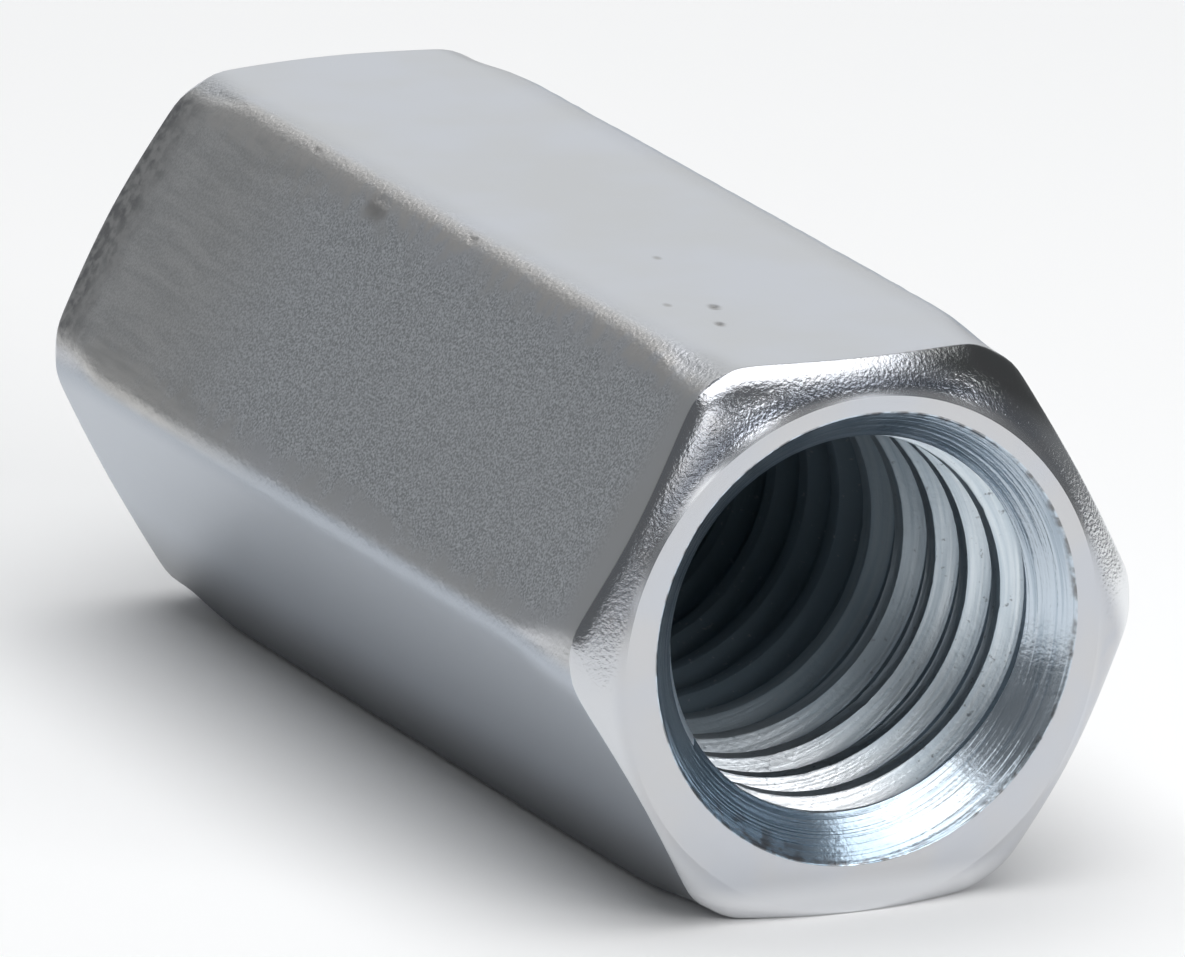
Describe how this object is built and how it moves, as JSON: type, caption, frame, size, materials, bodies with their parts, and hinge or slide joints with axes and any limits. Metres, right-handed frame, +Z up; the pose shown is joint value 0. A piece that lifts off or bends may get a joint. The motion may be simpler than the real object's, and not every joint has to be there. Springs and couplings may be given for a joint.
{
  "type": "hex coupling",
  "caption": "Long hexagonal coupling nut, threaded right through, that joins two lengths of rod end to end in a hanger or pipe support.",
  "frame": {"origin": "on the bore axis, half way along the coupling", "axes": "+Y along the bore, away from the mouth that the picture shows; +Z up, square to the top flat; two long edges at +X and -X"},
  "size_m": [0.0142, 0.0286, 0.0124],
  "materials": {
    "zinc_steel": "bright zinc plating over rolled hexagon steel, satin with fine grain"
  },
  "bodies": {
    "root": {"hex_coupling": "zinc_steel"}
  },
  "joints": []
}
